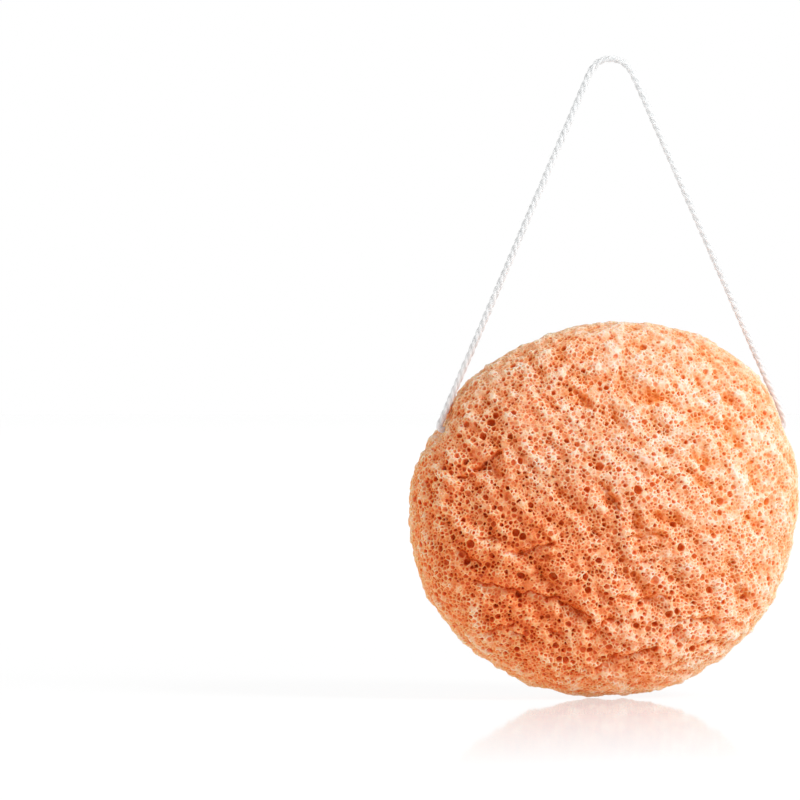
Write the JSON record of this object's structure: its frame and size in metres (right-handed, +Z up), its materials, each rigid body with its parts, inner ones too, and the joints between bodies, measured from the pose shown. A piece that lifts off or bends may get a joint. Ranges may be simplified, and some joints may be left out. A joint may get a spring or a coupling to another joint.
{
  "type": "konjac sponge",
  "caption": "Round domed porous konjac face sponge with a flat back, which hangs and swings from a loop of thin twisted cotton cord threaded through its rim.",
  "frame": {"origin": "inside the top of the cord loop, where a hook or peg carries it", "axes": "+Z up, +X to the right seen from the domed face, +Y from the domed face to the flat back"},
  "size_m": [0.0814, 0.03, 0.1336],
  "materials": {
    "sponge": "matte porous plant foam",
    "cord": "matte twisted cotton"
  },
  "bodies": {
    "cord": {"cord_loop": "cord", "cord_threaded_left": "cord", "cord_threaded_right": "cord", "cord_knot": "cord"},
    "sponge": {"sponge_body": "sponge"}
  },
  "joints": [
    {"name": "sponge_swing", "type": "hinge", "parent": "cord", "child": "sponge", "pos_m": [0, 0, -0.0765], "axis": [1, 0, 0], "range_deg": [-60, 60]}
  ]
}
